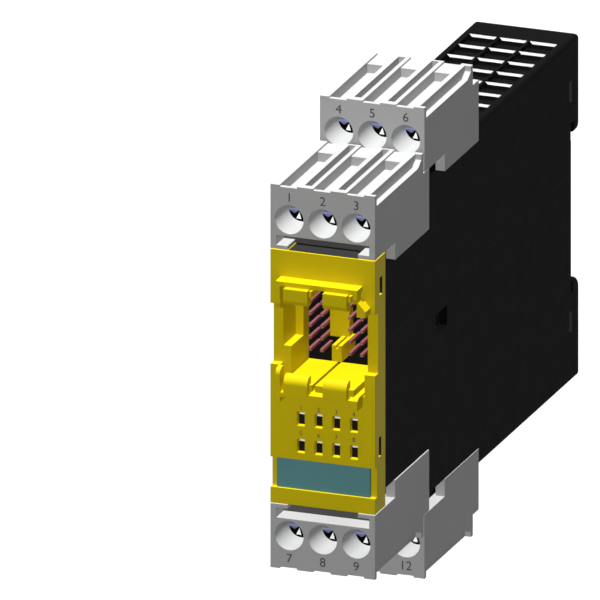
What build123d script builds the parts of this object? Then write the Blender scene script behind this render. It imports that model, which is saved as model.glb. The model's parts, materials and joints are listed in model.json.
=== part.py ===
from build123d import *
import os

# A 22.5 mm wide control module for a 35 mm rail.
# +Z is up, -Y is the front, and the origin is the middle of the face that lies on the rail.
# Depths are counted backwards from the front plane, and heights from the rail's centre line.

# Overall sizes
WIDTH = 22.5
FRONT_DEPTH = 114.0
CASE_HALF_HEIGHT = 36.5
WALL = 1.6
EDGE_RADIUS = 0.9
GAP = 0.1
FIT = 0.05
THROUGH = 1.0

# Stepped case: each step is a depth where the case grows to the next half height
CASE_FRONT = 6.0
STEP_DROPS = (13.2, 3.7)

# Rail recess for a 35 mm top-hat rail
SEAT_TOP = 15.15
SEAT_BOTTOM = -14.85
SLOT_TOP = 18.85
SLOT_BOTTOM = -17.65
SEAT_RELIEF = 0.2
HOOK_DEPTH = 5.0
UPPER_TIP_BACK = 2.1
UPPER_TIP_Z = 16.2
UPPER_TIP_RADIUS = 1.6
LOWER_LIP_BACK = 1.1
LOWER_LIP_Z = -15.0
LOWER_LIP_RADIUS = 2.5

# Ventilation louvres on the top and the bottom
VENT_COLUMNS = 3
VENT_WIDTH = 5.9
VENT_RIB = 0.6
VENT_ROWS = 7
VENT_PITCH = 6.5
VENT_LENGTH = 6.1
VENT_SLOT = 1.75
VENT_POCKET = 0.9
VENT_REAR_MARGIN = 8.1
BAFFLE_THICKNESS = 1.0
BAFFLE_GAP = 0.3

# Openings in the right side of the case
WINDOW_DEPTH = 35.1
WINDOW_LENGTH = 6.8
WINDOW_HEIGHT = 4.4
WINDOW_Z = 1.75
SIDE_SLOT_DEPTH = 113.0
SIDE_SLOT_LENGTH = 1.5
SIDE_SLOT_HEIGHT = 4.8
SIDE_SLOT_ZS = (25.5, -23.75)
SIDE_SLOT_SINK = 0.8

# Terminal blocks: outer face height and front depth of each pair
BLOCK_LENGTH = 31.5
BLOCK_NOSE_LENGTH = 11.8
BLOCK_NOSE_HEIGHT = 13.7
BLOCK_HEIGHT = 17.4
CHEEK = 2.0
FRONT_BLOCK_LIFT = 0.3
REAR_BLOCK_LIFT = 0.15
REAR_BLOCK_DEPTH = 28.8
BLOCK_STEP_GAP = 0.3
REAR_STEP_GAP = 0.0
LEDGE_LENGTH = 3.4
LEDGE_DROP = 4.4
FOOT_LENGTH = 3.2
RIDGE_LENGTH = 16.5
RIDGE_GAP = 0.3

# Poles: bores, channels and slots of a terminal block
POLES = 3
POLE_PITCH = 7.2
BORE_RADIUS = 3.075
BORE_DROP = 7.2
HEAD_DEPTH = 7.1
CHANNEL_WIDTH = 3.74
CHANNEL_DROP = 2.33
CHANNEL_END = 22.2
CHANNEL_SHIFT = -0.2
FRONT_WALL = 1.0
FRONT_WALL_DROP = 0.35
PLATEAU_DROP = 0.4
SLIT_WIDTH = 1.5
SLIT_START = 1.6
SLIT_END_GAP = 0.6
SLIT_SHIFT = -0.1
SHELF_WIDTH = 1.3
SHELF_RAMP_START = 25.0
SHELF_RAMP_END = 27.0
SHELF_RAMP_RISE = 1.2
LIP_THICKNESS = 0.8
LIP_DEPTH = 8.5
LIP_SLOT_HEIGHT = 2.1
LIP_SLOT_WIDTH = 20.0
LIP_CUT_WIDTH = 15.1

# Clamp screws, cages and contact strips
SCREW_RADIUS = 1.45
SCREW_HEAD_RADIUS = 2.7
SCREW_HEAD_HEIGHT = 1.9
SCREW_SLOT_WIDTH = 0.8
SCREW_SLOT_DEPTH = 1.0
CHAMBER_START = 9.3
CAGE_WIDTH = 5.5
CAGE_HEIGHT = 6.2
CAGE_DEPTH = 7.8
CAGE_WALL = 0.8
CAGE_NUT = 1.4
CAGE_FRONT = 12.6
CAGE_PLAY = 0.2
STRIP_THICKNESS = 0.8
STRIP_WIDTH = 3.6
BAR_FRONT = 15.0
BAR_TOP_DROP = 4.0
RUN_DROP = 12.7
BLADE_DROP = 16.2
BLADE_LENGTH = 5.0
BLADE_SLOT_PLAY = 0.15
SOCKET_LENGTH = 6.6
SOCKET_HEIGHT = 3.6
SOCKET_ROOF = 0.7
SOCKET_SIDE_GAP = 0.3

# Yellow front cover
COVER_BLOCK_GAP = 0.2
COVER_PLATE = 3.4
COVER_SIDE = 1.3
BAND_DROP = 5.0
BAND_BOTTOM = 2.55
BAND_SINK = 1.9
LABEL_HEIGHT = 6.45
LABEL_MARGIN = 3.35
LABEL_SINK = 1.2
LABEL_THICKNESS = 0.8
LABEL_WIDTH = 20.0
SIDE_NOTCHES = ((2.7, 4.2, 18.95, 22.75), (2.2, 3.6, -15.55, -11.35))
NOTCH_SINK = 0.9
SLOT_HALF_WIDTH = 7.6
SLOT_SKIN = 0.4
SLOT_DROP = 2.7

# Plug bay behind the cover's band
BAY_LEFT = -9.15
BAY_RIGHT = 9.0
BAY_BOTTOM = -2.15
BAY_TOP_GAP = 1.15
BAY_DEPTH = 12.0
BAY_WALL = 0.45
PARTITION_RIGHT = -7.45
PARTITION_TOP = 6.1
PARTITION_FRONT = 9.0
CENTRE_WALL_RIGHT = 2.1
CENTRE_WALL_FRONT = 10.0
CENTRE_WALL_BOTTOM = 6.3
BRACKET = (0.5, 2.6, 3.2, 6.6)
BRACKET_FRONT = 4.0
BRACKET_GROOVE = (0.5, 0.7)

# Hoods around the latch arms
HOOD_LEFT = -9.0
HOOD_RIGHT = 8.6
HOOD_REACH = 3.2
HOOD_WALL = 1.0
HOOD_ROUND = 1.4
UPPER_HOOD_DROPS = (5.05, 2.35)
LOWER_HOOD_SIDES = (2.95, -1.6)
LOWER_HOOD_FOOT = -4.2
LOWER_RAIL_END = 7.0
WEDGE_DROPS = ((8.4, 1.65), (8.6, 1.65), (10.3, 3.45), (10.3, 4.65), (8.4, 4.8))
WEDGE_REACH = 3.0
LUG_REACH = 4.4
LUG_THICKNESS = 2.2
LUG_WIDTH = 5.15
LUG_CENTRES = (-4.3, 4.15)
LUG_RADII = {1: 1.8, -1: 1.1}
LOWER_LUG = (-1.95, 1.9)
UPPER_LUG_DROPS = (3.55, 0.05)
ARM_THICKNESS = 1.4
LOWER_ARM_TOP = 0.2
LOWER_ARMS = ((-7.3, -1.05), (-0.45, 7.9))
UPPER_ARM_DROP = 0.35
UPPER_ARMS = ((-6.9, -1.2), (1.6, 7.3))
ARM_ROOT = 9.0

# Indicator windows
LAMP_PITCH = 3.8
LAMP_FIRST = -4.7
LAMP_COUNT = 4
LAMP_WIDTH = 1.7
LAMP_HEIGHT = 3.0
LAMP_ROW_RISES = (8.75, 3.0)
GUIDE_SINK = 1.2
GUIDE_CLEAR = 0.6
LED_SIZE = (1.6, 0.7, 0.8)

# Pin headers
PIN_PITCH = 2.54
PIN_ROWS = 5
PIN_HALF = 0.32
PIN_TIP = 6.2
PIN_FIRST_Z = 4.3
HEADER_CENTRES = (-3.8, 4.8)
HEADER_SIDES = ((-7.3, 0.75), (0.85, 8.9))
HEADER_BOTTOM = -0.5
HEADER_DROP = 0.15
BOARD_THICKNESS = 1.6
HEADER_DEPTH = 2.5
FRONT_BOARD_WIDTH = 18.8

# Main board and its parts
MAIN_BOARD_X = -1.8
BOARD_PLAY = 0.3
MAIN_BOARD_REAR_GAP = 8.2
CAPACITOR_RADIUS = 4.0
CAPACITOR_HEIGHT = 8.5
CAPACITORS = ((52.0, 18.0), (52.0, -18.0))
CHIP_THICKNESS = 1.6
CHIPS = ((45.0, 0.0, 10.0), (66.0, -4.0, 12.0), (86.0, 6.0, 10.0))

# Places worked out from the values above
HALF_WIDTH = WIDTH / 2
INNER_HALF = HALF_WIDTH - WALL
SEAT_DEPTH = FRONT_DEPTH
REAR_DEPTH = SEAT_DEPTH + HOOK_DEPTH
STEP_HALF_HEIGHTS = tuple(CASE_HALF_HEIGHT - drop for drop in STEP_DROPS)
FRONT_BLOCK_OUTER = STEP_HALF_HEIGHTS[0] + BLOCK_HEIGHT + FRONT_BLOCK_LIFT
REAR_BLOCK_OUTER = STEP_HALF_HEIGHTS[1] + BLOCK_HEIGHT + REAR_BLOCK_LIFT
STEP_DEPTHS = (BLOCK_LENGTH + BLOCK_STEP_GAP, REAR_BLOCK_DEPTH + BLOCK_LENGTH + REAR_STEP_GAP)
LEDGE_START = BLOCK_LENGTH - LEDGE_LENGTH
FOOT_START = BLOCK_LENGTH - FOOT_LENGTH
CASE_GAP_TO_SOCKET = BLOCK_STEP_GAP + WALL + GAP
COVER_HALF_HEIGHT = FRONT_BLOCK_OUTER - BLOCK_NOSE_HEIGHT - COVER_BLOCK_GAP
LABEL_BOTTOM = LABEL_MARGIN - COVER_HALF_HEIGHT
LABEL_TOP = LABEL_BOTTOM + LABEL_HEIGHT
LAMP_ROWS = tuple(LABEL_TOP + rise for rise in LAMP_ROW_RISES)
BAY_TOP = STEP_HALF_HEIGHTS[0] - WALL - BAY_TOP_GAP
BAND_TOP = BAY_TOP - BAND_DROP
UPPER_HOOD_SIDES = tuple(BAY_TOP - drop for drop in UPPER_HOOD_DROPS)
UPPER_LUG = tuple(BAY_TOP - drop for drop in UPPER_LUG_DROPS)
UPPER_ARM_TOP = BAY_TOP - UPPER_ARM_DROP
HEADER_TOP = BAY_TOP - HEADER_DROP


def back(depth):
    return depth - FRONT_DEPTH


def slab(x0, x1, d0, d1, z0, z1):
    """A box between two sides, two depths and two heights."""
    centre = Pos((x0 + x1) / 2, back((d0 + d1) / 2), (z0 + z1) / 2)
    return centre * Box(abs(x1 - x0), abs(d1 - d0), abs(z1 - z0))


def plate(points, x0, x1):
    """A profile of (depth, height) points, as thick as the space from x0 to x1."""
    outline = Polyline([(back(d), z) for d, z in points], close=True)
    face = Plane.YZ.offset(x0) * make_face(outline)
    return extrude(face, amount=x1 - x0)


def rod(radius, x, z, d0, d1):
    """A round rod or hole along the depth."""
    return Pos(x, back((d0 + d1) / 2), z) * Rot(90, 0, 0) * Cylinder(radius, d1 - d0)


def fuse(*shapes):
    total = shapes[0]
    for shape in shapes[1:]:
        total += shape
    return total


def spread(count, pitch):
    """Places of a row of equal steps, centred on zero."""
    return [(i - (count - 1) / 2) * pitch for i in range(count)]


# Case
def half_outline(wall, front, rear):
    """Upper half of the stepped case outline, moved inwards by a wall."""
    low, middle = STEP_HALF_HEIGHTS
    first, second = STEP_DEPTHS
    return [
        (front, low - wall),
        (first + wall, low - wall),
        (first + wall, middle - wall),
        (second + wall, middle - wall),
        (second + wall, CASE_HALF_HEIGHT - wall),
        (rear, CASE_HALF_HEIGHT - wall),
    ]


def mirrored(points):
    return [(d, -z) for d, z in reversed(points)]


def case_outline():
    upper = half_outline(0, CASE_FRONT, REAR_DEPTH)
    floor = SEAT_DEPTH - SEAT_RELIEF
    recess = [
        (REAR_DEPTH, UPPER_TIP_Z),
        (SEAT_DEPTH + UPPER_TIP_BACK, UPPER_TIP_Z),
        (SEAT_DEPTH + UPPER_TIP_BACK, SLOT_TOP),
        (floor, SLOT_TOP),
        (floor, SEAT_TOP),
        (SEAT_DEPTH, SEAT_TOP),
        (SEAT_DEPTH, SEAT_BOTTOM),
        (floor, SEAT_BOTTOM),
        (floor, SLOT_BOTTOM),
        (SEAT_DEPTH + LOWER_LIP_BACK, SLOT_BOTTOM),
        (SEAT_DEPTH + LOWER_LIP_BACK, LOWER_LIP_Z),
        (REAR_DEPTH, LOWER_LIP_Z),
    ]
    return upper + recess + mirrored(upper)


def case_body(x0, x1):
    body = plate(case_outline(), x0, x1)
    along_x = body.edges().filter_by(Axis.X)
    rear = [e for e in along_x if abs(e.center().Y - HOOK_DEPTH) < FIT]
    tip = [e for e in rear if abs(e.center().Z - UPPER_TIP_Z) < FIT]
    lip = [e for e in rear if abs(e.center().Z - LOWER_LIP_Z) < FIT]
    corners = [e for e in rear if abs(abs(e.center().Z) - CASE_HALF_HEIGHT) < FIT]
    body = fillet(tip, UPPER_TIP_RADIUS)
    body = fillet(match(body, lip), LOWER_LIP_RADIUS)
    return fillet(match(body, corners), EDGE_RADIUS)


def match(body, edges):
    """The edges of a changed body that still lie where the given ones did."""
    places = [e.center() for e in edges]
    return [e for e in body.edges() if any((e.center() - p).length < FIT for p in places)]


def rounded_side(body, x):
    """Rounds the long outer edges of the case at one side."""
    def outer(edge):
        middle = edge.center()
        at_side = abs(middle.X - x) < FIT
        on_top = abs(abs(middle.Z) - CASE_HALF_HEIGHT) < FIT
        return at_side and on_top and edge.length > VENT_PITCH
    return fillet([e for e in body.edges() if outer(e)], EDGE_RADIUS)


def vents(side):
    """Louvre pockets with a through slot along the far edge of each."""
    cuts = []
    top = side * CASE_HALF_HEIGHT
    for row in range(VENT_ROWS):
        far = REAR_DEPTH - VENT_REAR_MARGIN - row * VENT_PITCH
        for x in spread(VENT_COLUMNS, VENT_WIDTH + VENT_RIB):
            left, right = x - VENT_WIDTH / 2, x + VENT_WIDTH / 2
            sunk = top - side * VENT_POCKET
            cuts.append(slab(left, right, far - VENT_LENGTH, far, sunk, top + side))
            cuts.append(slab(left, right, far - VENT_SLOT, far, top - 2 * side * WALL, top))
    return cuts


def blade_slots(side):
    """Slots in the step faces for the contact blades of the blocks."""
    slots = []
    play = BLADE_SLOT_PLAY
    for outer, depth in block_places():
        z = side * (outer - BLADE_DROP)
        start = depth + BLOCK_LENGTH - THROUGH
        for x in spread(POLES, POLE_PITCH):
            half = STRIP_WIDTH / 2 + play
            thick = STRIP_THICKNESS / 2 + play
            slots.append(slab(x - half, x + half, start, start + WALL + 2 * THROUGH,
                              z - thick, z + thick))
    return slots


def block_places():
    return (FRONT_BLOCK_OUTER, 0.0), (REAR_BLOCK_OUTER, REAR_BLOCK_DEPTH)


def ridges():
    """Locating ridges that the terminal blocks straddle."""
    half = HALF_WIDTH - CHEEK - RIDGE_GAP
    starts = (CASE_FRONT, STEP_DEPTHS[0])
    out = []
    for (outer, depth), floor, start in zip(block_places(), STEP_HALF_HEIGHTS, starts):
        top = outer - BLOCK_NOSE_HEIGHT - RIDGE_GAP
        end = depth + CASE_FRONT + RIDGE_LENGTH
        for side in (1, -1):
            out.append(slab(-half, half, start, end, side * (floor - WALL), side * top))
    # The front ridges run forwards into the cover, behind its thin skin
    nose = SLOT_HALF_WIDTH - GAP
    top = COVER_HALF_HEIGHT - GAP
    for side in (1, -1):
        out.append(slab(-nose, nose, SLOT_SKIN + GAP, CASE_FRONT + THROUGH,
                        side * (COVER_HALF_HEIGHT - SLOT_DROP + GAP), side * top))
    return out


def make_case():
    body = case_body(-INNER_HALF, HALF_WIDTH)
    body = rounded_side(body, HALF_WIDTH)
    body = fuse(body, *ridges())
    upper = half_outline(WALL, CASE_FRONT - THROUGH, SEAT_DEPTH - SEAT_RELIEF - WALL)
    hollow = plate(upper + mirrored(upper), -INNER_HALF - THROUGH, INNER_HALF)
    body -= hollow
    for side in (1, -1):
        for cut in vents(side) + blade_slots(side):
            body -= cut
    body -= slab(INNER_HALF - THROUGH, HALF_WIDTH + THROUGH, WINDOW_DEPTH,
                 WINDOW_DEPTH + WINDOW_LENGTH, WINDOW_Z - WINDOW_HEIGHT / 2,
                 WINDOW_Z + WINDOW_HEIGHT / 2)
    for z in SIDE_SLOT_ZS:
        body -= slab(HALF_WIDTH - SIDE_SLOT_SINK, HALF_WIDTH + THROUGH, SIDE_SLOT_DEPTH,
                     SIDE_SLOT_DEPTH + SIDE_SLOT_LENGTH, z - SIDE_SLOT_HEIGHT / 2,
                     z + SIDE_SLOT_HEIGHT / 2)
    return body


def make_side_cover():
    return rounded_side(case_body(-HALF_WIDTH, -INNER_HALF), -HALF_WIDTH)


# Terminal blocks, drawn as the upper pair
class Block:
    """Places inside one upper terminal block, from its outer height and front depth."""

    def __init__(self, outer, depth):
        self.outer = outer
        self.depth = depth

    def cut(self, x0, x1, d0, d1, drop0, drop1):
        return slab(x0, x1, self.depth + d0, self.depth + d1,
                    self.outer - drop0, self.outer - drop1)

    def bore(self, radius, x, d0, d1):
        return rod(radius, x, self.outer - BORE_DROP, self.depth + d0, self.depth + d1)


def block_body(b):
    half = HALF_WIDTH
    body = b.cut(-half, half, 0, LEDGE_START, 0, BLOCK_NOSE_HEIGHT)
    body += b.cut(-half, half, 0, BLOCK_LENGTH, LEDGE_DROP, BLOCK_NOSE_HEIGHT)
    for x0, x1 in ((-half, -half + CHEEK), (half - CHEEK, half)):
        body += b.cut(x0, x1, BLOCK_NOSE_LENGTH, BLOCK_LENGTH, LEDGE_DROP, BLOCK_HEIGHT)
    return body + b.cut(-half, half, FOOT_START, BLOCK_LENGTH, LEDGE_DROP, BLOCK_HEIGHT)


def block_top(b):
    """What is cut from the outer face: channels, slits and the side shelf."""
    over = -THROUGH
    cuts = []
    for x in spread(POLES, POLE_PITCH):
        left = x + CHANNEL_SHIFT - CHANNEL_WIDTH / 2
        right = left + CHANNEL_WIDTH
        cuts.append(b.cut(left, right, FRONT_WALL, CHANNEL_END, over, CHANNEL_DROP))
        cuts.append(b.cut(left, right, over, CHANNEL_END, over, FRONT_WALL_DROP))
        cuts.append(b.cut(left, right, CHANNEL_END, LEDGE_START, over, PLATEAU_DROP))
    for x in spread(POLES - 1, POLE_PITCH):
        left = x + SLIT_SHIFT - SLIT_WIDTH / 2
        cuts.append(b.cut(left, left + SLIT_WIDTH, SLIT_START, LEDGE_START - SLIT_END_GAP,
                          over, CHANNEL_DROP))
    ramp = [
        (FRONT_WALL, -over),
        (FRONT_WALL, -CHANNEL_DROP),
        (SHELF_RAMP_START, -CHANNEL_DROP),
        (SHELF_RAMP_END, -CHANNEL_DROP + SHELF_RAMP_RISE),
        (SHELF_RAMP_END, -over),
    ]
    outline = [(b.depth + d, b.outer + z) for d, z in ramp]
    cuts.append(plate(outline, HALF_WIDTH - SHELF_WIDTH, HALF_WIDTH + THROUGH))
    return cuts


def block_front(b):
    """The slot behind the lip at the inner end of the front, and the lip's cut."""
    top = BLOCK_NOSE_HEIGHT - LIP_THICKNESS - LIP_SLOT_HEIGHT
    bottom = BLOCK_NOSE_HEIGHT - LIP_THICKNESS
    wide, narrow = LIP_SLOT_WIDTH / 2, LIP_CUT_WIDTH / 2
    return [
        b.cut(-wide, wide, -THROUGH, LIP_DEPTH, top, bottom),
        b.cut(-narrow, narrow, -THROUGH, LIP_DEPTH, bottom, BLOCK_NOSE_HEIGHT + THROUGH),
    ]


def contact(b, x):
    """One bent contact strip: clamp bar, run, drop and blade."""
    left, right = x - STRIP_WIDTH / 2, x + STRIP_WIDTH / 2
    thick = STRIP_THICKNESS
    run, blade = RUN_DROP, BLADE_DROP
    drop_back = BLOCK_LENGTH - 2 * thick
    bar = b.cut(left, right, BAR_FRONT, BAR_FRONT + thick, BAR_TOP_DROP, run + thick / 2)
    run_part = b.cut(left, right, BAR_FRONT, drop_back + thick,
                     run - thick / 2, run + thick / 2)
    drop = b.cut(left, right, drop_back, drop_back + thick,
                 run - thick / 2, blade + thick / 2)
    tongue = b.cut(left, right, drop_back, BLOCK_LENGTH + BLADE_LENGTH,
                   blade - thick / 2, blade + thick / 2)
    return fuse(bar, run_part, drop, tongue)


def cage(b, x):
    """A wire clamp: a threaded front wall and a window for the bar and the wire."""
    half, tall = CAGE_WIDTH / 2, CAGE_HEIGHT / 2
    front, rear = CAGE_FRONT, CAGE_FRONT + CAGE_DEPTH
    body = b.cut(x - half, x + half, front, rear, BORE_DROP - tall, BORE_DROP + tall)
    body -= b.cut(x - half + CAGE_WALL, x + half - CAGE_WALL, front + CAGE_NUT,
                  rear - CAGE_WALL, BORE_DROP - tall - THROUGH, BORE_DROP + tall + THROUGH)
    return body - b.bore(SCREW_RADIUS + FIT, x, front - THROUGH, front + CAGE_NUT + THROUGH)


def screw(b, x):
    head_end = HEAD_DEPTH + SCREW_HEAD_HEIGHT
    body = b.bore(SCREW_HEAD_RADIUS, x, HEAD_DEPTH, head_end)
    body += b.bore(SCREW_RADIUS, x, head_end, BAR_FRONT - FIT)
    half = SCREW_SLOT_WIDTH / 2
    reach = SCREW_HEAD_RADIUS + THROUGH
    return body - b.cut(x - reach, x + reach, HEAD_DEPTH - THROUGH,
                        HEAD_DEPTH + SCREW_SLOT_DEPTH, BORE_DROP - half, BORE_DROP + half)


def make_block(b):
    body = block_body(b)
    for part in block_top(b) + block_front(b):
        body -= part
    wide = CAGE_WIDTH / 2 + CAGE_PLAY
    tall = CAGE_HEIGHT / 2 + CAGE_PLAY
    chamber_end = CAGE_FRONT + CAGE_DEPTH + CAGE_PLAY
    for x in spread(POLES, POLE_PITCH):
        body -= b.bore(BORE_RADIUS, x, -THROUGH, CHAMBER_START)
        body -= b.cut(x - wide, x + wide, CHAMBER_START, chamber_end,
                      BORE_DROP - tall, BORE_DROP + tall)
        body -= contact(b, x)
    return body


def socket_strip(b):
    """The strip inside the case that the blades plug into."""
    start = b.depth + BLOCK_LENGTH + CASE_GAP_TO_SOCKET
    z = b.outer - BLADE_DROP
    top = z + SOCKET_ROOF
    half = INNER_HALF - SOCKET_SIDE_GAP
    body = slab(-half, half, start, start + SOCKET_LENGTH, top - SOCKET_HEIGHT, top)
    for x in spread(POLES, POLE_PITCH):
        wide = STRIP_WIDTH / 2 + BLADE_SLOT_PLAY
        thick = STRIP_THICKNESS / 2 + BLADE_SLOT_PLAY
        body -= slab(x - wide, x + wide, start - THROUGH, start + SOCKET_LENGTH - WALL,
                     z - thick, z + thick)
    return body


# Front cover
def cover_shell():
    half = HALF_WIDTH
    tall = COVER_HALF_HEIGHT
    body = slab(-half, half, 0, CASE_FRONT, -tall, tall)
    body -= slab(-half + COVER_SIDE, half - COVER_SIDE, COVER_PLATE, CASE_FRONT + THROUGH,
                 -tall + COVER_SIDE, tall - COVER_SIDE)
    body -= slab(-half - THROUGH, half + THROUGH, -THROUGH, BAND_SINK, BAND_BOTTOM, BAND_TOP)
    body -= slab(-half - THROUGH, half + THROUGH, -THROUGH, LABEL_SINK,
                 LABEL_BOTTOM, LABEL_TOP)
    for side in (1, -1):
        body -= slab(-SLOT_HALF_WIDTH, SLOT_HALF_WIDTH, SLOT_SKIN, CASE_FRONT + THROUGH,
                     side * (tall - SLOT_DROP), side * (tall + THROUGH))
    for d0, d1, z0, z1 in SIDE_NOTCHES:
        for side in (1, -1):
            body -= slab(side * (half - NOTCH_SINK), side * (half + THROUGH), d0, d1, z0, z1)
    return body


def bay():
    """The tube that reaches back from the cover to the pin headers."""
    left, right = BAY_LEFT - BAY_WALL, BAY_RIGHT + BAY_WALL
    bottom, top = BAY_BOTTOM - HOOD_WALL, BAY_TOP + HOOD_WALL
    tube = slab(left, right, BAND_SINK, BAY_DEPTH, bottom, top)
    return tube, slab(BAY_LEFT, BAY_RIGHT, -THROUGH, BAY_DEPTH + THROUGH, BAY_BOTTOM, BAY_TOP)


def hood(wall, root, sides):
    """A rim around a pair of lugs: a wall across, and two side walls from its root to their ends."""
    body = slab(HOOD_LEFT, HOOD_RIGHT, -HOOD_REACH, BAND_SINK, *wall)
    lefts = HOOD_LEFT, HOOD_RIGHT - HOOD_WALL
    for left, end in zip(lefts, sides):
        side = slab(left, left + HOOD_WALL, -HOOD_REACH, BAND_SINK, min(root, end), max(root, end))
        corner = side.edges().filter_by(Axis.X).filter_by(
            lambda e: abs(e.center().Z - end) < FIT and e.center().Y < back(FIT - HOOD_REACH))
        body += fillet(corner, HOOD_ROUND)
    return body


def wedge():
    """The small sloped tab to the right of the upper hood."""
    outline = make_face(Polyline([(x, BAY_TOP - drop) for x, drop in WEDGE_DROPS], close=True))
    return extrude(Plane.XZ.offset(-back(0)) * outline, amount=WEDGE_REACH)


def bracket():
    """The grooved post between the two groups of pins, and the wall above it."""
    left, right, low, high = BRACKET
    post = slab(left, right, BRACKET_FRONT, BAY_DEPTH, low, high)
    wide, deep = BRACKET_GROOVE
    middle = (left + right) / 2
    post -= slab(middle - wide / 2, middle + wide / 2, BRACKET_FRONT - THROUGH,
                 CENTRE_WALL_FRONT, high - deep, high + THROUGH)
    first_pin = HEADER_CENTRES[0] + PIN_PITCH / 2 + PIN_HALF
    return post + slab(first_pin + GAP, CENTRE_WALL_RIGHT, CENTRE_WALL_FRONT, BAY_DEPTH,
                       CENTRE_WALL_BOTTOM, BAY_TOP + FIT)


def lug(x, low, high, rounded):
    """A latch lug with one rounded long edge at its front."""
    block = slab(x - LUG_WIDTH / 2, x + LUG_WIDTH / 2, -LUG_REACH,
                 -LUG_REACH + LUG_THICKNESS, low, high)
    z = high if rounded > 0 else low
    front = block.edges().filter_by(Axis.X).filter_by(
        lambda e: abs(e.center().Z - z) < FIT and e.center().Y < back(-LUG_REACH + FIT))
    return fillet(front, LUG_RADII[rounded])


def latches():
    parts = []
    for x in LUG_CENTRES:
        parts.append(lug(x, *LOWER_LUG, 1))
        parts.append(lug(x, *UPPER_LUG, -1))
    for left, right in LOWER_ARMS:
        parts.append(slab(left, right, -LUG_REACH + LUG_THICKNESS / 2, BAY_DEPTH,
                          LOWER_ARM_TOP - ARM_THICKNESS, LOWER_ARM_TOP))
        parts.append(slab(left, right, ARM_ROOT, BAY_DEPTH, BAY_BOTTOM - FIT, LOWER_ARM_TOP))
    for left, right in UPPER_ARMS:
        parts.append(slab(left, right, -LUG_REACH + LUG_THICKNESS / 2, BAY_DEPTH,
                          UPPER_ARM_TOP - ARM_THICKNESS, UPPER_ARM_TOP))
        parts.append(slab(left, right, ARM_ROOT, BAY_DEPTH,
                          UPPER_ARM_TOP - ARM_THICKNESS, BAY_TOP + FIT))
    return parts


def lamp_places():
    return [(LAMP_FIRST + i * LAMP_PITCH, z) for z in LAMP_ROWS for i in range(LAMP_COUNT)]


def lamp_box(x, z, d0, d1, play):
    wide, tall = LAMP_WIDTH / 2 - play, LAMP_HEIGHT / 2 - play
    return slab(x - wide, x + wide, d0, d1, z - tall, z + tall)


def make_front_cover():
    tube, opening = bay()
    roof, floor = BAY_TOP + HOOD_WALL, BAY_BOTTOM - HOOD_WALL
    body = fuse(cover_shell(), tube, wedge(), hood((BAY_TOP, roof), roof, UPPER_HOOD_SIDES),
                hood((floor, BAY_BOTTOM), LOWER_HOOD_FOOT, LOWER_HOOD_SIDES))
    body -= opening
    # The lower hood's right wall runs on into the bay as a low rail
    body += slab(HOOD_RIGHT - HOOD_WALL, HOOD_RIGHT, -HOOD_REACH + HOOD_ROUND, LOWER_RAIL_END,
                 BAY_BOTTOM - FIT, LOWER_HOOD_SIDES[1])
    # The tube's lower left side steps inwards
    body += slab(BAY_LEFT - FIT, PARTITION_RIGHT, BAND_SINK, BAY_DEPTH,
                 BAY_BOTTOM - FIT, PARTITION_TOP)
    body += slab(BAY_LEFT - FIT, PARTITION_RIGHT, PARTITION_FRONT, BAY_DEPTH,
                 PARTITION_TOP - FIT, BAY_TOP + FIT)
    body = fuse(body, bracket(), *latches())
    for x, z in lamp_places():
        body -= lamp_box(x, z, -THROUGH, COVER_PLATE + THROUGH, 0)
    return body


def make_label():
    half = LABEL_WIDTH / 2
    return slab(-half, half, LABEL_SINK - LABEL_THICKNESS, LABEL_SINK,
                LABEL_BOTTOM + FIT, LABEL_TOP - FIT)


# Boards, headers, pins, light guides and lamps
BOARD_FRONT = BAY_DEPTH + GAP + HEADER_DEPTH
BOARD_BACK = BOARD_FRONT + BOARD_THICKNESS


def pin_places(centre):
    zs = [PIN_FIRST_Z + i * PIN_PITCH for i in range(PIN_ROWS)]
    return [(centre + s * PIN_PITCH / 2, z) for z in zs for s in (-1, 1)]


def pin(x, z, d0, d1, play=0.0):
    half = PIN_HALF + play
    return slab(x - half, x + half, d0, d1, z - half, z + half)


def make_header(centre, sides):
    body = slab(*sides, BAY_DEPTH + GAP, BOARD_FRONT, HEADER_BOTTOM, HEADER_TOP)
    for x, z in pin_places(centre):
        body -= pin(x, z, BAY_DEPTH, BOARD_FRONT + THROUGH)
    return body


def make_pins(centre):
    return Compound(children=[pin(x, z, PIN_TIP, BOARD_BACK) for x, z in pin_places(centre)])


def make_front_board():
    half = FRONT_BOARD_WIDTH / 2
    tall = STEP_HALF_HEIGHTS[0] - WALL - BOARD_PLAY
    body = slab(-half, half, BOARD_FRONT, BOARD_BACK, -tall, tall)
    for centre in HEADER_CENTRES:
        for x, z in pin_places(centre):
            body -= pin(x, z, BOARD_FRONT - THROUGH, BOARD_BACK + THROUGH, FIT)
    return body


def make_guides():
    end = BOARD_FRONT - LED_SIZE[1] - GUIDE_CLEAR
    return Compound(children=[lamp_box(x, z, GUIDE_SINK, end, FIT) for x, z in lamp_places()])


def make_leds():
    wide, deep, tall = LED_SIZE
    return Compound(children=[
        slab(x - wide / 2, x + wide / 2, BOARD_FRONT - deep, BOARD_FRONT,
             z - tall / 2, z + tall / 2)
        for x, z in lamp_places()])


def make_main_board():
    low, high = (half - WALL - BOARD_PLAY for half in STEP_HALF_HEIGHTS)
    step = BLOCK_LENGTH + CASE_GAP_TO_SOCKET + SOCKET_LENGTH + BOARD_PLAY
    end = SEAT_DEPTH - SEAT_RELIEF - WALL - MAIN_BOARD_REAR_GAP
    upper = [(BOARD_BACK + GAP, low), (step, low), (step, high), (end, high)]
    half = BOARD_THICKNESS / 2
    return plate(upper + mirrored(upper), MAIN_BOARD_X - half, MAIN_BOARD_X + half)


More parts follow.
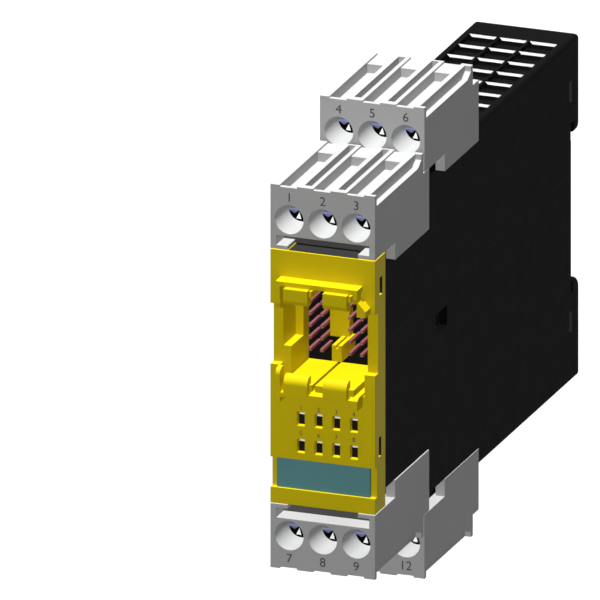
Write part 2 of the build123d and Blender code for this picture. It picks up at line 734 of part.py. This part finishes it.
def make_capacitors():
    start = MAIN_BOARD_X + BOARD_THICKNESS / 2
    cans = []
    for depth, z in CAPACITORS:
        centre = Pos(start + CAPACITOR_HEIGHT / 2, back(depth), z) * Rot(0, 90, 0)
        cans.append(centre * Cylinder(CAPACITOR_RADIUS, CAPACITOR_HEIGHT))
    return Compound(children=cans)


def make_chips():
    start = MAIN_BOARD_X + BOARD_THICKNESS / 2
    return Compound(children=[
        slab(start, start + CHIP_THICKNESS, d, d + size, z - size / 2, z + size / 2)
        for d, z, size in CHIPS])


def make_baffle(side):
    """A pale plate just inside the louvres."""
    top = side * (CASE_HALF_HEIGHT - WALL - BAFFLE_GAP)
    first_row = REAR_DEPTH - VENT_REAR_MARGIN - (VENT_ROWS - 1) * VENT_PITCH
    socket_end = REAR_BLOCK_DEPTH + BLOCK_LENGTH + CASE_GAP_TO_SOCKET + SOCKET_LENGTH
    near = max(first_row - VENT_SLOT - BAFFLE_GAP, socket_end + BAFFLE_GAP)
    half = INNER_HALF - BAFFLE_GAP
    far = SEAT_DEPTH - SEAT_RELIEF - WALL - BAFFLE_GAP
    return slab(-half, half, near, far, top - side * BAFFLE_THICKNESS, top)


def turned_over(piece):
    solids = [s.mirror(Plane.XY) for s in piece.solids()]
    return solids[0] if len(solids) == 1 else Compound(children=solids)


def make_all():
    nodes = {
        "case": make_case(),
        "side_cover": make_side_cover(),
        "front_cover": make_front_cover(),
        "label_plate": make_label(),
        "front_board": make_front_board(),
        "main_board": make_main_board(),
        "capacitors": make_capacitors(),
        "chips": make_chips(),
        "light_guides": make_guides(),
        "status_lamps": make_leds(),
        "upper_baffle": make_baffle(1),
        "lower_baffle": make_baffle(-1),
    }
    for name, centre, sides in zip(("left", "right"), HEADER_CENTRES, HEADER_SIDES):
        nodes[f"{name}_header"] = make_header(centre, sides)
        nodes[f"{name}_header_pins"] = make_pins(centre)
    for row, (outer, depth) in zip(("front", "rear"), block_places()):
        b = Block(outer, depth)
        pieces = {"block": make_block(b), "sockets": socket_strip(b)}
        pieces["contacts"] = Compound(
            children=[contact(b, x) for x in spread(POLES, POLE_PITCH)])
        for number, x in enumerate(spread(POLES, POLE_PITCH), 1):
            pieces[f"screw_{number}"] = screw(b, x)
            pieces[f"cage_{number}"] = cage(b, x)
        for name, piece in pieces.items():
            nodes[f"upper_{row}_{name}"] = piece
            nodes[f"lower_{row}_{name}"] = turned_over(piece)
    return nodes


os.makedirs("parts", exist_ok=True)
for node, solid in make_all().items():
    export_step(solid, f"parts/{node}.step")
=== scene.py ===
# %% [markdown]
# The object is a narrow control module for a mounting rail: a stepped black case, a yellow front
# with a plug bay, and four grey terminal blocks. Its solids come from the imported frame, at their
# real size. This lesson gives them their finishes, adds the printing and the small trim, and sets
# up the studio and the camera.

# %% Load the frame
import json
import math

import bmesh
import bpy
from mathutils import Matrix, Vector


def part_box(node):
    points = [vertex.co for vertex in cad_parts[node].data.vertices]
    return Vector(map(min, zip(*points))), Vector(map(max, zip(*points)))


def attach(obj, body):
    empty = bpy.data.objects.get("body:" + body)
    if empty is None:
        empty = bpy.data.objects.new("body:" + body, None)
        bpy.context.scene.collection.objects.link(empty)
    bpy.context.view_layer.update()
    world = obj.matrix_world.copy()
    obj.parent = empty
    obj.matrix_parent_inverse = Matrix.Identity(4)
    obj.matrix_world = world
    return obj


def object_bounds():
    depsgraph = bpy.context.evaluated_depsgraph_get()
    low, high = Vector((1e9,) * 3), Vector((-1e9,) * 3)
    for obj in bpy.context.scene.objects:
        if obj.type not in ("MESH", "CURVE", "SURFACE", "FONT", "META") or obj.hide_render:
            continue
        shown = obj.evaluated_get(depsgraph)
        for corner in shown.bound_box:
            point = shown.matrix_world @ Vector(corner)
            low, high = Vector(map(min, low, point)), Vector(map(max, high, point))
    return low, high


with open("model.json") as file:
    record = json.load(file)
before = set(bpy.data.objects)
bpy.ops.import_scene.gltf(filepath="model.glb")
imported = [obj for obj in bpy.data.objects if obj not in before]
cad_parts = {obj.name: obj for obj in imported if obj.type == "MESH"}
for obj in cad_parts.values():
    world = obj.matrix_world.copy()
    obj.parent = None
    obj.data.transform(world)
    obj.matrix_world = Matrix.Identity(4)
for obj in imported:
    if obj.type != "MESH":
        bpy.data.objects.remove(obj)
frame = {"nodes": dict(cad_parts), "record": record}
nodes = frame["nodes"]
cad_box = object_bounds()
MM = 0.001
print("nodes", len(nodes))

# %% [markdown]
# Trim has to sit on the solids, so the main places come from the frame and not from the photo.
# The front plane is the front of the lower part of the cover, which the front terminal blocks
# share. Most marks are laid on it or measured from it.

# %% Places read from the frame
block_low, block_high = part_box("upper_front_block")
FRONT = block_low.y
HALF_WIDTH = block_high.x
case_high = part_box("case")[1]
GUIDE_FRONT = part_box("light_guides")[0].y
print("front plane", round(FRONT / MM, 2), "half width", round(HALF_WIDTH / MM, 2))

# %% [markdown]
# The camera has no perspective: in the photo the receding edges stay parallel. Its turn and tilt
# come from the slopes of those edges, and its scale from the 22.5 mm width.

# %% Camera
AZIMUTH = math.radians(20.29)
ELEVATION = math.radians(19.51)
VIEW_WIDTH = 0.1210
TARGET_RIGHT = -44.11 * MM
TARGET_UP = -19.20 * MM
CAMERA_DISTANCE = 0.8

right = Vector((math.cos(AZIMUTH), math.sin(AZIMUTH), 0))
towards = Vector((math.sin(AZIMUTH) * math.cos(ELEVATION),
                  -math.cos(AZIMUTH) * math.cos(ELEVATION), math.sin(ELEVATION)))
up = towards.cross(right)
camera_data = bpy.data.cameras.new("camera")
camera_data.type = "ORTHO"
camera_data.ortho_scale = VIEW_WIDTH
camera = bpy.data.objects.new("camera", camera_data)
bpy.context.scene.collection.objects.link(camera)
camera.location = right * TARGET_RIGHT + up * TARGET_UP + towards * CAMERA_DISTANCE
camera.rotation_euler = towards.to_track_quat("Z", "Y").to_euler()
bpy.context.scene.camera = camera
bpy.context.scene.view_settings.view_transform = "Standard"
print("camera at", [round(c, 3) for c in camera.location])

# %% [markdown]
# A material is a small graph of nodes. These helpers make one node with its values, a noise that
# sits still on the object, a ramp between two colours, and a range for the roughness. The noise
# reads Object coordinates, so that it stays in place from every side and needs no UV map.

# %% Helpers for graphs
GRAIN_SCALE = 2600.0
CLOUD_SCALE = 70.0


def new_material(name):
    material = bpy.data.materials.new(name)
    material.use_nodes = True
    tree = material.node_tree
    shader = tree.nodes["Principled BSDF"]
    return material, tree, shader


def node(tree, kind, **values):
    made = tree.nodes.new(kind)
    for key, value in values.items():
        if key in made.inputs:
            made.inputs[key].default_value = value
        else:
            setattr(made, key, value)
    return made


def noise(tree, scale, detail=3.0):
    coords = node(tree, "ShaderNodeTexCoord")
    texture = node(tree, "ShaderNodeTexNoise", Scale=scale, Detail=detail)
    tree.links.new(coords.outputs["Object"], texture.inputs["Vector"])
    return texture.outputs["Fac"]


def ramp(tree, factor, low, high, start=0.3, end=0.7):
    made = node(tree, "ShaderNodeValToRGB")
    made.color_ramp.elements[0].position = start
    made.color_ramp.elements[1].position = end
    made.color_ramp.elements[0].color = (*low, 1)
    made.color_ramp.elements[1].color = (*high, 1)
    tree.links.new(factor, made.inputs["Fac"])
    return made.outputs["Color"]


def shaded(color, amount):
    return tuple(c * amount for c in color)


def roughness_from(tree, factor, low, high):
    made = node(tree, "ShaderNodeMapRange")
    made.inputs["To Min"].default_value = low
    made.inputs["To Max"].default_value = high
    tree.links.new(factor, made.inputs["Value"])
    return made.outputs["Result"]


# %% [markdown]
# Most of the module is moulded plastic with a fine spark-eroded grain. One function makes all of
# them: a base colour with a slow variation, a roughness that wanders a little, and the grain as
# bump. The Bevel node catches light along the edges, as the small radii of a mould do. Real
# bevels would cost many faces here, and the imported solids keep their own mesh.

# %% Moulded plastics
EDGE = 0.12 * MM
GRAIN_DEPTH = 0.02 * MM


def grain_bump(tree, shader, scale, strength):
    bevel = node(tree, "ShaderNodeBevel", samples=4)
    bevel.inputs["Radius"].default_value = EDGE
    bump = node(tree, "ShaderNodeBump", Strength=strength, Distance=GRAIN_DEPTH)
    tree.links.new(noise(tree, scale), bump.inputs["Height"])
    tree.links.new(bevel.outputs["Normal"], bump.inputs["Normal"])
    tree.links.new(bump.outputs["Normal"], shader.inputs["Normal"])


def moulded(name, color, rough=0.45, vary=0.05, grain=0.25, specular=0.5, scale=GRAIN_SCALE):
    material, tree, shader = new_material(name)
    clouds = noise(tree, CLOUD_SCALE)
    tint = ramp(tree, clouds, shaded(color, 1 - vary), shaded(color, 1 + vary))
    tree.links.new(tint, shader.inputs["Base Color"])
    wear = roughness_from(tree, noise(tree, CLOUD_SCALE * 4), rough - 0.06, rough + 0.06)
    tree.links.new(wear, shader.inputs["Roughness"])
    shader.inputs["Specular IOR Level"].default_value = specular
    grain_bump(tree, shader, scale, grain)
    return material


# %% [markdown]
# The two halves of the case's mould meet in a line that can just be seen along the sides. It is a
# change of colour only, so it goes into the finish: the Z of the Object coordinates is compared
# with the height of the line, and a Mix node lays the lighter colour there.

# %% Parting line
# Sockets of the Mix node that carry colours
MIX_A, MIX_B, MIX_RESULT = 6, 7, 2


def parting_line(material, height, half_width, color):
    """A fine line all round the mould at one height, in a lighter colour."""
    tree = material.node_tree
    base = tree.nodes["Principled BSDF"].inputs["Base Color"]
    tint = base.links[0].from_socket
    coords = node(tree, "ShaderNodeTexCoord")
    split = node(tree, "ShaderNodeSeparateXYZ")
    near = node(tree, "ShaderNodeMath", operation="COMPARE")
    near.inputs[1].default_value = height
    near.inputs[2].default_value = half_width
    mix = node(tree, "ShaderNodeMix", data_type="RGBA")
    tree.links.new(coords.outputs["Object"], split.inputs["Vector"])
    tree.links.new(split.outputs["Z"], near.inputs[0])
    tree.links.new(near.outputs[0], mix.inputs["Factor"])
    tree.links.new(tint, mix.inputs[MIX_A])
    mix.inputs[MIX_B].default_value = (*color, 1)
    tree.links.new(mix.outputs[MIX_RESULT], base)


# %% [markdown]
# Pins, screws, cages and contacts are plated metal. The noise can be stretched along one axis, as
# drawn wire is brushed along its length. Where the real plating is dull, less than all of it is
# metallic, so that it keeps its own colour beside the white floor and world that it reflects.

# %% Metals
def metal(name, color, rough=0.25, brushed=(1, 1, 1), vary=0.08, metallic=1.0):
    material, tree, shader = new_material(name)
    shader.inputs["Metallic"].default_value = metallic
    coords = node(tree, "ShaderNodeTexCoord")
    mapping = node(tree, "ShaderNodeMapping", Scale=brushed)
    texture = node(tree, "ShaderNodeTexNoise", Scale=GRAIN_SCALE / 2, Detail=2.0)
    tree.links.new(coords.outputs["Object"], mapping.inputs["Vector"])
    tree.links.new(mapping.outputs["Vector"], texture.inputs["Vector"])
    tint = ramp(tree, texture.outputs["Fac"], shaded(color, 1 - vary), shaded(color, 1 + vary))
    tree.links.new(tint, shader.inputs["Base Color"])
    worn = roughness_from(tree, texture.outputs["Fac"], rough - 0.08, rough + 0.08)
    tree.links.new(worn, shader.inputs["Roughness"])
    bump = node(tree, "ShaderNodeBump", Strength=0.1, Distance=0.01 * MM)
    tree.links.new(texture.outputs["Fac"], bump.inputs["Height"])
    tree.links.new(bump.outputs["Normal"], shader.inputs["Normal"])
    return material


# %% [markdown]
# The finishes: black, yellow and grey mouldings, a satin petrol plate, and the plain resins, board
# lacquer and metals of what shows inside. The black case has a fine parting line along its sides.

# %% Finishes
GREY = (0.345, 0.348, 0.345)
YELLOW = (0.505, 0.40, 0.003)
BLACK = (0.0029, 0.0029, 0.003)
BLACK_SHEEN = 0.0055
SHEEN = 0.03
PARTING_HEIGHT = 8.05 * MM
PARTING_HALF_WIDTH = 0.07 * MM
PARTING_COLOR = (0.012, 0.012, 0.012)
finishes = {
    "black_plastic": moulded("black_plastic", BLACK, 0.55, 0.06, 0.3, BLACK_SHEEN),
    "yellow_plastic": moulded("yellow_plastic", YELLOW, 0.45, 0.03, 0.12, SHEEN),
    "grey_plastic": moulded("grey_plastic", GREY, 0.5, 0.025, 0.2, SHEEN),
    "petrol_plate": moulded("petrol_plate", (0.086, 0.215, 0.226), 0.4, 0.04, 0.1, SHEEN),
    "circuit_board": moulded("circuit_board", (0.012, 0.095, 0.035), 0.25, 0.1, 0.2),
    "dark_resin": moulded("dark_resin", (0.004, 0.0045, 0.009), 0.5, 0.1, 0.2, SHEEN),
    "light_guide": moulded("light_guide", (0.008, 0.008, 0.009), 0.3, 0.1, 0.05, SHEEN),
    "pale_sheet": moulded("pale_sheet", (0.85, 0.85, 0.86), 0.5, 0.03, 0.1),
    "capacitor_can": metal("capacitor_can", (0.7, 0.7, 0.72)),
    "copper_pin": metal("copper_pin", (0.20, 0.06, 0.072), 0.5, (1, 0.05, 1), 0.05, 0.2),
    "tinned_copper": metal("tinned_copper", (0.78, 0.77, 0.74)),
    "zinc_steel": metal("zinc_steel", (0.12, 0.135, 0.24), 0.35, vary=0.05, metallic=0.3),
}
parting_line(finishes["black_plastic"], PARTING_HEIGHT, PARTING_HALF_WIDTH, PARTING_COLOR)
for row in frame["record"]["subparts"]:
    piece = nodes[row["node"]]
    piece.data.materials.clear()
    piece.data.materials.append(finishes[row["material_slot"]])
print("finishes", len(finishes))

# %% [markdown]
# The printing on the real module is flat ink. Here each mark is a very thin plate of ink: a text
# curve is turned into a mesh, stood up to face the front and laid on the surface, into which it
# sinks by a hair, so that nothing floats. A text's size is more than the height of its capitals,
# so the wanted height is divided by their share. Only plain numbers are printed.

# %% Ink
INK_THICKNESS = 0.03 * MM
INK = moulded("ink", (0.035, 0.037, 0.04), 0.6, 0.1, 0.1, 0.2)
INK_SUNK = 0.005 * MM
CAPITAL_SHARE = 0.7


def printed(name, text, x, z, height, body, surface, ink=INK):
    curve = bpy.data.curves.new(name, "FONT")
    curve.body = text
    curve.size = height / CAPITAL_SHARE
    curve.align_x = "CENTER"
    curve.extrude = INK_THICKNESS / 2
    holder = bpy.data.objects.new(name + "_curve", curve)
    bpy.context.scene.collection.objects.link(holder)
    bpy.context.view_layer.update()
    mesh = bpy.data.meshes.new_from_object(holder)
    bpy.data.objects.remove(holder)
    standing = Matrix.Rotation(math.radians(90), 4, "X")
    mesh.transform(standing)
    place = Vector((x, surface - INK_THICKNESS / 2 + INK_SUNK, z - height / 2))
    mesh.transform(Matrix.Translation(place))
    mesh.materials.clear()
    mesh.materials.append(ink)
    mark = bpy.data.objects.new(name, mesh)
    bpy.context.scene.collection.objects.link(mark)
    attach(mark, body)
    return mark


# %% [markdown]
# Each terminal block carries one number beside each bore, between the bore and the outer edge.

# %% Terminal numbers
BLOCKS = ("upper_front", "upper_rear", "lower_front", "lower_rear")
MARK_DROP = 2.4 * MM
MARK_HEIGHT = 1.9 * MM
POLE_PITCH = 7.2 * MM
number = 0


def body_of(block):
    """The front blocks move on their own, the rear ones stay with the module."""
    return block + "_terminal" if block.endswith("front") else "module"


for row in BLOCKS:
    low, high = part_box(row + "_block")
    outer = high.z - MARK_DROP if row.startswith("upper") else low.z + MARK_DROP
    body = body_of(row)
    for pole in (-1, 0, 1):
        number += 1
        printed(f"{row}_number_{pole + 2}", str(number), pole * POLE_PITCH, outer,
                MARK_HEIGHT, body, low.y)
print("terminal numbers", number)

# %% [markdown]
# The eight indicator windows stand in two rows of four. Small numbers are printed over the upper
# row and between the rows, at the pitch of the windows, with the same function as before.

# %% Indicator numbers
LAMPS_IN_ROW = 4
LAMP_PITCH = 3.8 * MM
LAMP_FIRST = -4.7 * MM
LAMP_MARK = 0.95 * MM
MARK_ROWS = (-6.15 * MM, -11.55 * MM)
for line, z in enumerate(MARK_ROWS):
    for i in range(LAMPS_IN_ROW):
        count = line * LAMPS_IN_ROW + i + 1
        printed(f"indicator_number_{count}", str(count), LAMP_FIRST + i * LAMP_PITCH, z,
                LAMP_MARK, "module", FRONT)
print("indicator numbers", len(MARK_ROWS) * LAMPS_IN_ROW)

# %% [markdown]
# Flat patches of light or shade are thin plates: one face from a few corners, extruded backwards
# by a hair. As geometry they keep their sharp edges from every side and in the exported model,
# which a pattern in a material would need an image for.

# %% Thin plates
STRIP_THICKNESS = 0.03 * MM
# A pale finish for the plates that paint light onto surfaces.
PAINTED_LIGHT = moulded("painted_light", (0.9, 0.9, 0.9), 0.5, 0.02, 0.1, SHEEN)


def strip(name, corners, y, material=PAINTED_LIGHT, body="module"):
    """A thin plate facing the front: its (x, z) corners are given in turn, its face lies at y."""
    mesh = bpy.data.meshes.new(name)
    builder = bmesh.new()
    front = [builder.verts.new((x, y, z)) for x, z in corners]
    face = builder.faces.new(front)
    moved = bmesh.ops.extrude_face_region(builder, geom=[face])["geom"]
    rear = [v for v in moved if isinstance(v, bmesh.types.BMVert)]
    bmesh.ops.translate(builder, verts=rear, vec=(0, STRIP_THICKNESS, 0))
    bmesh.ops.recalc_face_normals(builder, faces=builder.faces)
    builder.to_mesh(mesh)
    builder.free()
    mesh.materials.append(material)
    piece = bpy.data.objects.new(name, mesh)
    bpy.context.scene.collection.objects.link(piece)
    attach(piece, body)
    return piece


def upright(x0, x1, z0, z1):
    return [(x0, z0), (x1, z0), (x1, z1), (x0, z1)]


def laid_on(y):
    """The face of a plate that sinks by a hair into a surface at y."""
    return y - STRIP_THICKNESS + INK_SUNK


# %% [markdown]
# In the photo each louvre pocket shows a trapezoid of light on its far wall. The louvres are on
# top and on the bottom, in seven rows of three.

# %% Louvre strips
LOUVRE_ROWS = 7
LOUVRE_PITCH = 6.5 * MM
LOUVRE_WIDTH = 5.9 * MM
LOUVRE_RIB = 0.6 * MM
LOUVRE_REAR = 8.1 * MM
STRIP_HEIGHT = 0.58 * MM
STRIP_TAPER = 0.5 * MM
STRIP_PLAY = 0.03 * MM
STRIP_DROP = 0.02 * MM
for side in (1, -1):
    edge = side * (case_high.z - STRIP_DROP)
    for row in range(LOUVRE_ROWS):
        far = case_high.y - LOUVRE_REAR - row * LOUVRE_PITCH
        for column in (-1, 0, 1):
            x = column * (LOUVRE_WIDTH + LOUVRE_RIB)
            half = LOUVRE_WIDTH / 2 - STRIP_PLAY
            low = edge - side * STRIP_HEIGHT
            corners = [(x - half, edge), (x + half, edge),
                       (x + half - STRIP_TAPER, low), (x - half + STRIP_TAPER, low)]
            # Painted light: each strip is a pale plate on the pocket's far wall.
            strip(f"louvre_strip_{side + 1}_{row}_{column + 1}", corners,
                  laid_on(far))
print("louvre strips", 2 * 3 * LOUVRE_ROWS)

# %% [markdown]
# A light guide is a clear rod from a lamp on the board to its window. Its end is dark when the
# lamp is off, with a lit strip just under the top edge of the window, where daylight falls in.

# %% Light guides
LAMP_ROWS = (-8.55 * MM, -14.3 * MM)
LAMP_HALF_WIDTH = 0.72 * MM
LIT_TOP = 1.12 * MM
LIT_BOTTOM = 0.66 * MM
for line, z in enumerate(LAMP_ROWS):
    for i in range(LAMPS_IN_ROW):
        x = LAMP_FIRST + i * LAMP_PITCH
        # Painted light: a pale plate on the end of each guide.
        strip(f"guide_light_{line * LAMPS_IN_ROW + i + 1}",
              upright(x - LAMP_HALF_WIDTH, x + LAMP_HALF_WIDTH, z + LIT_BOTTOM, z + LIT_TOP),
              laid_on(GUIDE_FRONT))
print("guide lights", len(LAMP_ROWS) * LAMPS_IN_ROW)

# %% [markdown]
# Each front block has a slot behind the lips of its nose, which is deep in shade in the photo. A
# dark plate stands across it, and on the upper block a second one across the cut below it. There
# one looks down on the case's ridge as well, so a plate lies on that: it is made upright as the
# others are, and its mesh is turned.

# %% Painted shade and light in the nose slots
# The dark plates across the slots are painted shade.
SHADE = moulded("shade", (0.075, 0.073, 0.073), 0.6, 0.1, 0.1, SHEEN)
LIP_SLOT_RISES = (10.82 * MM, 12.88 * MM)
LIP_SLOT_HALF_WIDTH = 9.98 * MM
SHADE_DEPTH = 4.4 * MM
lower_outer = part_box("lower_front_block")[0].z
upper_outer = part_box("upper_front_block")[1].z
for name, outer, side in (("lower_front", lower_outer, 1), ("upper_front", upper_outer, -1)):
    ends = sorted(outer + side * rise for rise in LIP_SLOT_RISES)
    strip(f"{name}_lip_shade", upright(-LIP_SLOT_HALF_WIDTH, LIP_SLOT_HALF_WIDTH, *ends),
          FRONT + SHADE_DEPTH, SHADE, f"{name}_terminal")

CUT_HALF_WIDTH = 7.5 * MM
CUT_RISES = (12.9 * MM, 13.6 * MM)
strip("upper_front_cut_shade",
      upright(-CUT_HALF_WIDTH, CUT_HALF_WIDTH, upper_outer - CUT_RISES[1], upper_outer - CUT_RISES[0]),
      FRONT + SHADE_DEPTH, SHADE, "upper_front_terminal")

# Painted light: the plate that lies on the ridge is grey, lighter than the black ridge under it.
RIDGE_PAINTED_LIGHT = moulded("ridge_painted_light", (0.022, 0.0215, 0.022), 0.6, 0.1, 0.1, SHEEN)
RIDGE_TOP = 27.05 * MM
RIDGE_START = 0.5 * MM
LYING = Matrix.Rotation(math.radians(-90), 4, "X")
ridge_top = strip("ridge_top_painted_light",
                  upright(-CUT_HALF_WIDTH, CUT_HALF_WIDTH, FRONT + RIDGE_START, FRONT + SHADE_DEPTH),
                  laid_on(-RIDGE_TOP), RIDGE_PAINTED_LIGHT)
ridge_top.data.transform(LYING)
print("nose slots shaded", 2)

# %% [markdown]
# The cover has a notch in each side at two heights, and the case a slot in its right side at two
# heights. From the front one sees only their rear walls. The cover's notches lie in shade there, and
# dark plates paint that shade on them; the case's slots get dark grey plates. One yellow plate
# closes the narrow opening at the right of the upper hood.

# %% Notches and side slots
# Painted shade in the cover's notches.
NOTCH_SHADE = moulded("notch_shade", (0.012, 0.009, 0.003), 0.6, 0.1, 0.1, SHEEN)
NOTCHES = ((4.2 * MM, 18.97 * MM, 22.73 * MM), (3.6 * MM, -15.53 * MM, -11.37 * MM))
NOTCH_SINK = 0.88 * MM
for line, (back, low, high) in enumerate(NOTCHES):
    for side in (1, -1):
        ends = sorted((side * HALF_WIDTH, side * (HALF_WIDTH - NOTCH_SINK)))
        strip(f"notch_shade_{line}_{side + 1}", upright(*ends, low, high),
              laid_on(FRONT + back), NOTCH_SHADE)

SIDE_SLOTS = ((23.12 * MM, 27.88 * MM), (-26.13 * MM, -21.37 * MM))
SIDE_SLOT_BACK = 114.5 * MM
SIDE_SLOT_SINK = 0.78 * MM
SLOT_GREY = moulded("slot_grey", (0.03, 0.03, 0.031), 0.6, 0.1, 0.1, SHEEN)
for line, (low, high) in enumerate(SIDE_SLOTS):
    strip(f"side_slot_shade_{line}", upright(HALF_WIDTH - SIDE_SLOT_SINK, HALF_WIDTH, low, high),
          laid_on(FRONT + SIDE_SLOT_BACK), SLOT_GREY)

HOOD_GAP_X = (8.2 * MM, 9.05 * MM)
HOOD_GAP_Z = (18.15 * MM, 20.55 * MM)
strip("hood_gap_cover", upright(*HOOD_GAP_X, *HOOD_GAP_Z), FRONT,
      finishes["yellow_plastic"])
print("notches", len(NOTCHES) * 2, "side slots", len(SIDE_SLOTS))

# %% [markdown]
# In each bore the screw's head shows as a violet face over a gap in black shade, with a small lit
# corner in it. The gap is a thin dark plate of painted shade before the lower part of the head, the
# corner a thin pale triangle of painted light. Their free corners are given in millimetres from the
# screw's axis.

# %% Screw faces
GAP_SHADE = moulded("gap_shade", (0.0015, 0.0015, 0.002), 0.6, 0.1, 0.1, 0.005)
GAP_EDGE = ((2.6, -0.36), (-0.45, -0.36), (-1.45, -1.08))
GAP_START = math.radians(190)
GAP_END = math.radians(352)
GAP_SIDES = 16
HEAD_PLAY = 0.02 * MM
GLINT = ((-0.40, -0.75), (-1.10, -2.15), (0.0, -2.2))
for row in BLOCKS:
    body = body_of(row)
    for pole in (1, 2, 3):
        screw = f"{row}_screw_{pole}"
        low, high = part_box(screw)
        x, z = (low.x + high.x) / 2, (low.z + high.z) / 2
        radius = (high.x - low.x) / 2 - HEAD_PLAY
        face = laid_on(low.y)
        turns = [GAP_START + (GAP_END - GAP_START) * i / GAP_SIDES for i in range(GAP_SIDES + 1)]
        corners = [(x + radius * math.cos(t), z + radius * math.sin(t)) for t in turns]
        corners += [(x + dx * MM, z + dz * MM) for dx, dz in GAP_EDGE]
        # Painted shade in the gap before the head.
        strip(f"{screw}_gap", corners, face, GAP_SHADE, body)
        corners = [(x + dx * MM, z + dz * MM) for dx, dz in GLINT]
        # Painted light in the corner beside it.
        strip(f"{screw}_glint", corners, laid_on(face), PAINTED_LIGHT, body)
print("screw faces", len(BLOCKS) * 3)

# %% [markdown]
# The module stands free on white in the photo. A white floor that is lit would throw much light
# back up at it, so the floor is dark to the light and white only to camera, glossy and
# transmission rays, which Light Path tells apart. The floor is one wide grid face at the height
# of the lowest point.

# %% Floor
FLOOR_SIZE = 3.0
FLOOR_GREY = 0.08
FLOOR_GLOW = 1.0
FLOOR_ROUGHNESS = 0.9
WHITE = (1, 1, 1, 1)
FLOOR_Z = cad_box[0][2]
floor_mesh = bpy.data.meshes.new("floor")
builder = bmesh.new()
bmesh.ops.create_grid(builder, x_segments=1, y_segments=1, size=FLOOR_SIZE)
bmesh.ops.translate(builder, verts=builder.verts, vec=(0, 0, FLOOR_Z))
builder.to_mesh(floor_mesh)
builder.free()
floor = bpy.data.objects.new("floor", floor_mesh)
bpy.context.scene.collection.objects.link(floor)


def seen_directly(tree):
    """1 for camera, glossy and transmission rays, else 0."""
    path = node(tree, "ShaderNodeLightPath")
    total = path.outputs["Is Camera Ray"]
    for name in ("Is Glossy Ray", "Is Transmission Ray"):
        add = node(tree, "ShaderNodeMath", operation="MAXIMUM")
        tree.links.new(total, add.inputs[0])
        tree.links.new(path.outputs[name], add.inputs[1])
        total = add.outputs[0]
    return total


floor_material, tree, shader = new_material("floor")
shader.inputs["Base Color"].default_value = (FLOOR_GREY, FLOOR_GREY, FLOOR_GREY, 1)
shader.inputs["Roughness"].default_value = FLOOR_ROUGHNESS
shader.inputs["Specular IOR Level"].default_value = 0.0
shader.inputs["Emission Color"].default_value = WHITE
glow = node(tree, "ShaderNodeMath", operation="MULTIPLY")
glow.inputs[1].default_value = FLOOR_GLOW
tree.links.new(seen_directly(tree), glow.inputs[0])
tree.links.new(glow.outputs[0], shader.inputs["Emission Strength"])
floor_mesh.materials.append(floor_material)
print("floor at", round(FLOOR_Z / MM, 2), "mm")

# %% [markdown]
# The world does the same: it is white where it is seen or mirrored, and only a faint fill light
# for the rest, so that hollows keep their depth.

# %% World
WORLD_LEVEL = 0.12
world = bpy.data.worlds.new("world")
bpy.context.scene.world = world
world.use_nodes = True
tree = world.node_tree
background = tree.nodes["Background"]
strength = node(tree, "ShaderNodeMapRange")
strength.inputs["To Min"].default_value = WORLD_LEVEL
strength.inputs["To Max"].default_value = 1.0
tree.links.new(seen_directly(tree), strength.inputs["Value"])
tree.links.new(strength.outputs["Result"], background.inputs["Strength"])
background.inputs["Color"].default_value = WHITE
print("fill light", WORLD_LEVEL)

# %% [markdown]
# The photo shows bright tops, middling fronts, dark sides and hardly any cast shadows. Large area
# lamps from above, from the front and from the right give the three levels. Only the weaker one
# of the two overhead lamps casts shadows.

# %% Lamps
MIDDLE = (0, -0.06, 0)
OVERHEAD = (-0.05, -0.16, 0.8)


def soft_lamp(name, place, size, watts, shadow=False):
    data = bpy.data.lights.new(name, "AREA")
    data.shape = "SQUARE"
    data.size = size
    data.energy = watts
    data.use_shadow = shadow
    lamp = bpy.data.objects.new(name, data)
    lamp.location = place
    direction = Vector(MIDDLE) - Vector(place)
    lamp.rotation_euler = direction.to_track_quat("-Z", "Y").to_euler()
    bpy.context.scene.collection.objects.link(lamp)


soft_lamp("key_lamp", OVERHEAD, 0.25, 15.0)
soft_lamp("shadow_lamp", OVERHEAD, 0.25, 1.5, True)
soft_lamp("front_lamp", (-0.1, -0.95, 0.05), 0.4, 2.7)
soft_lamp("side_lamp", (0.9, -0.2, 0.05), 0.4, 1.15)
print("lamps", len(bpy.data.lights))
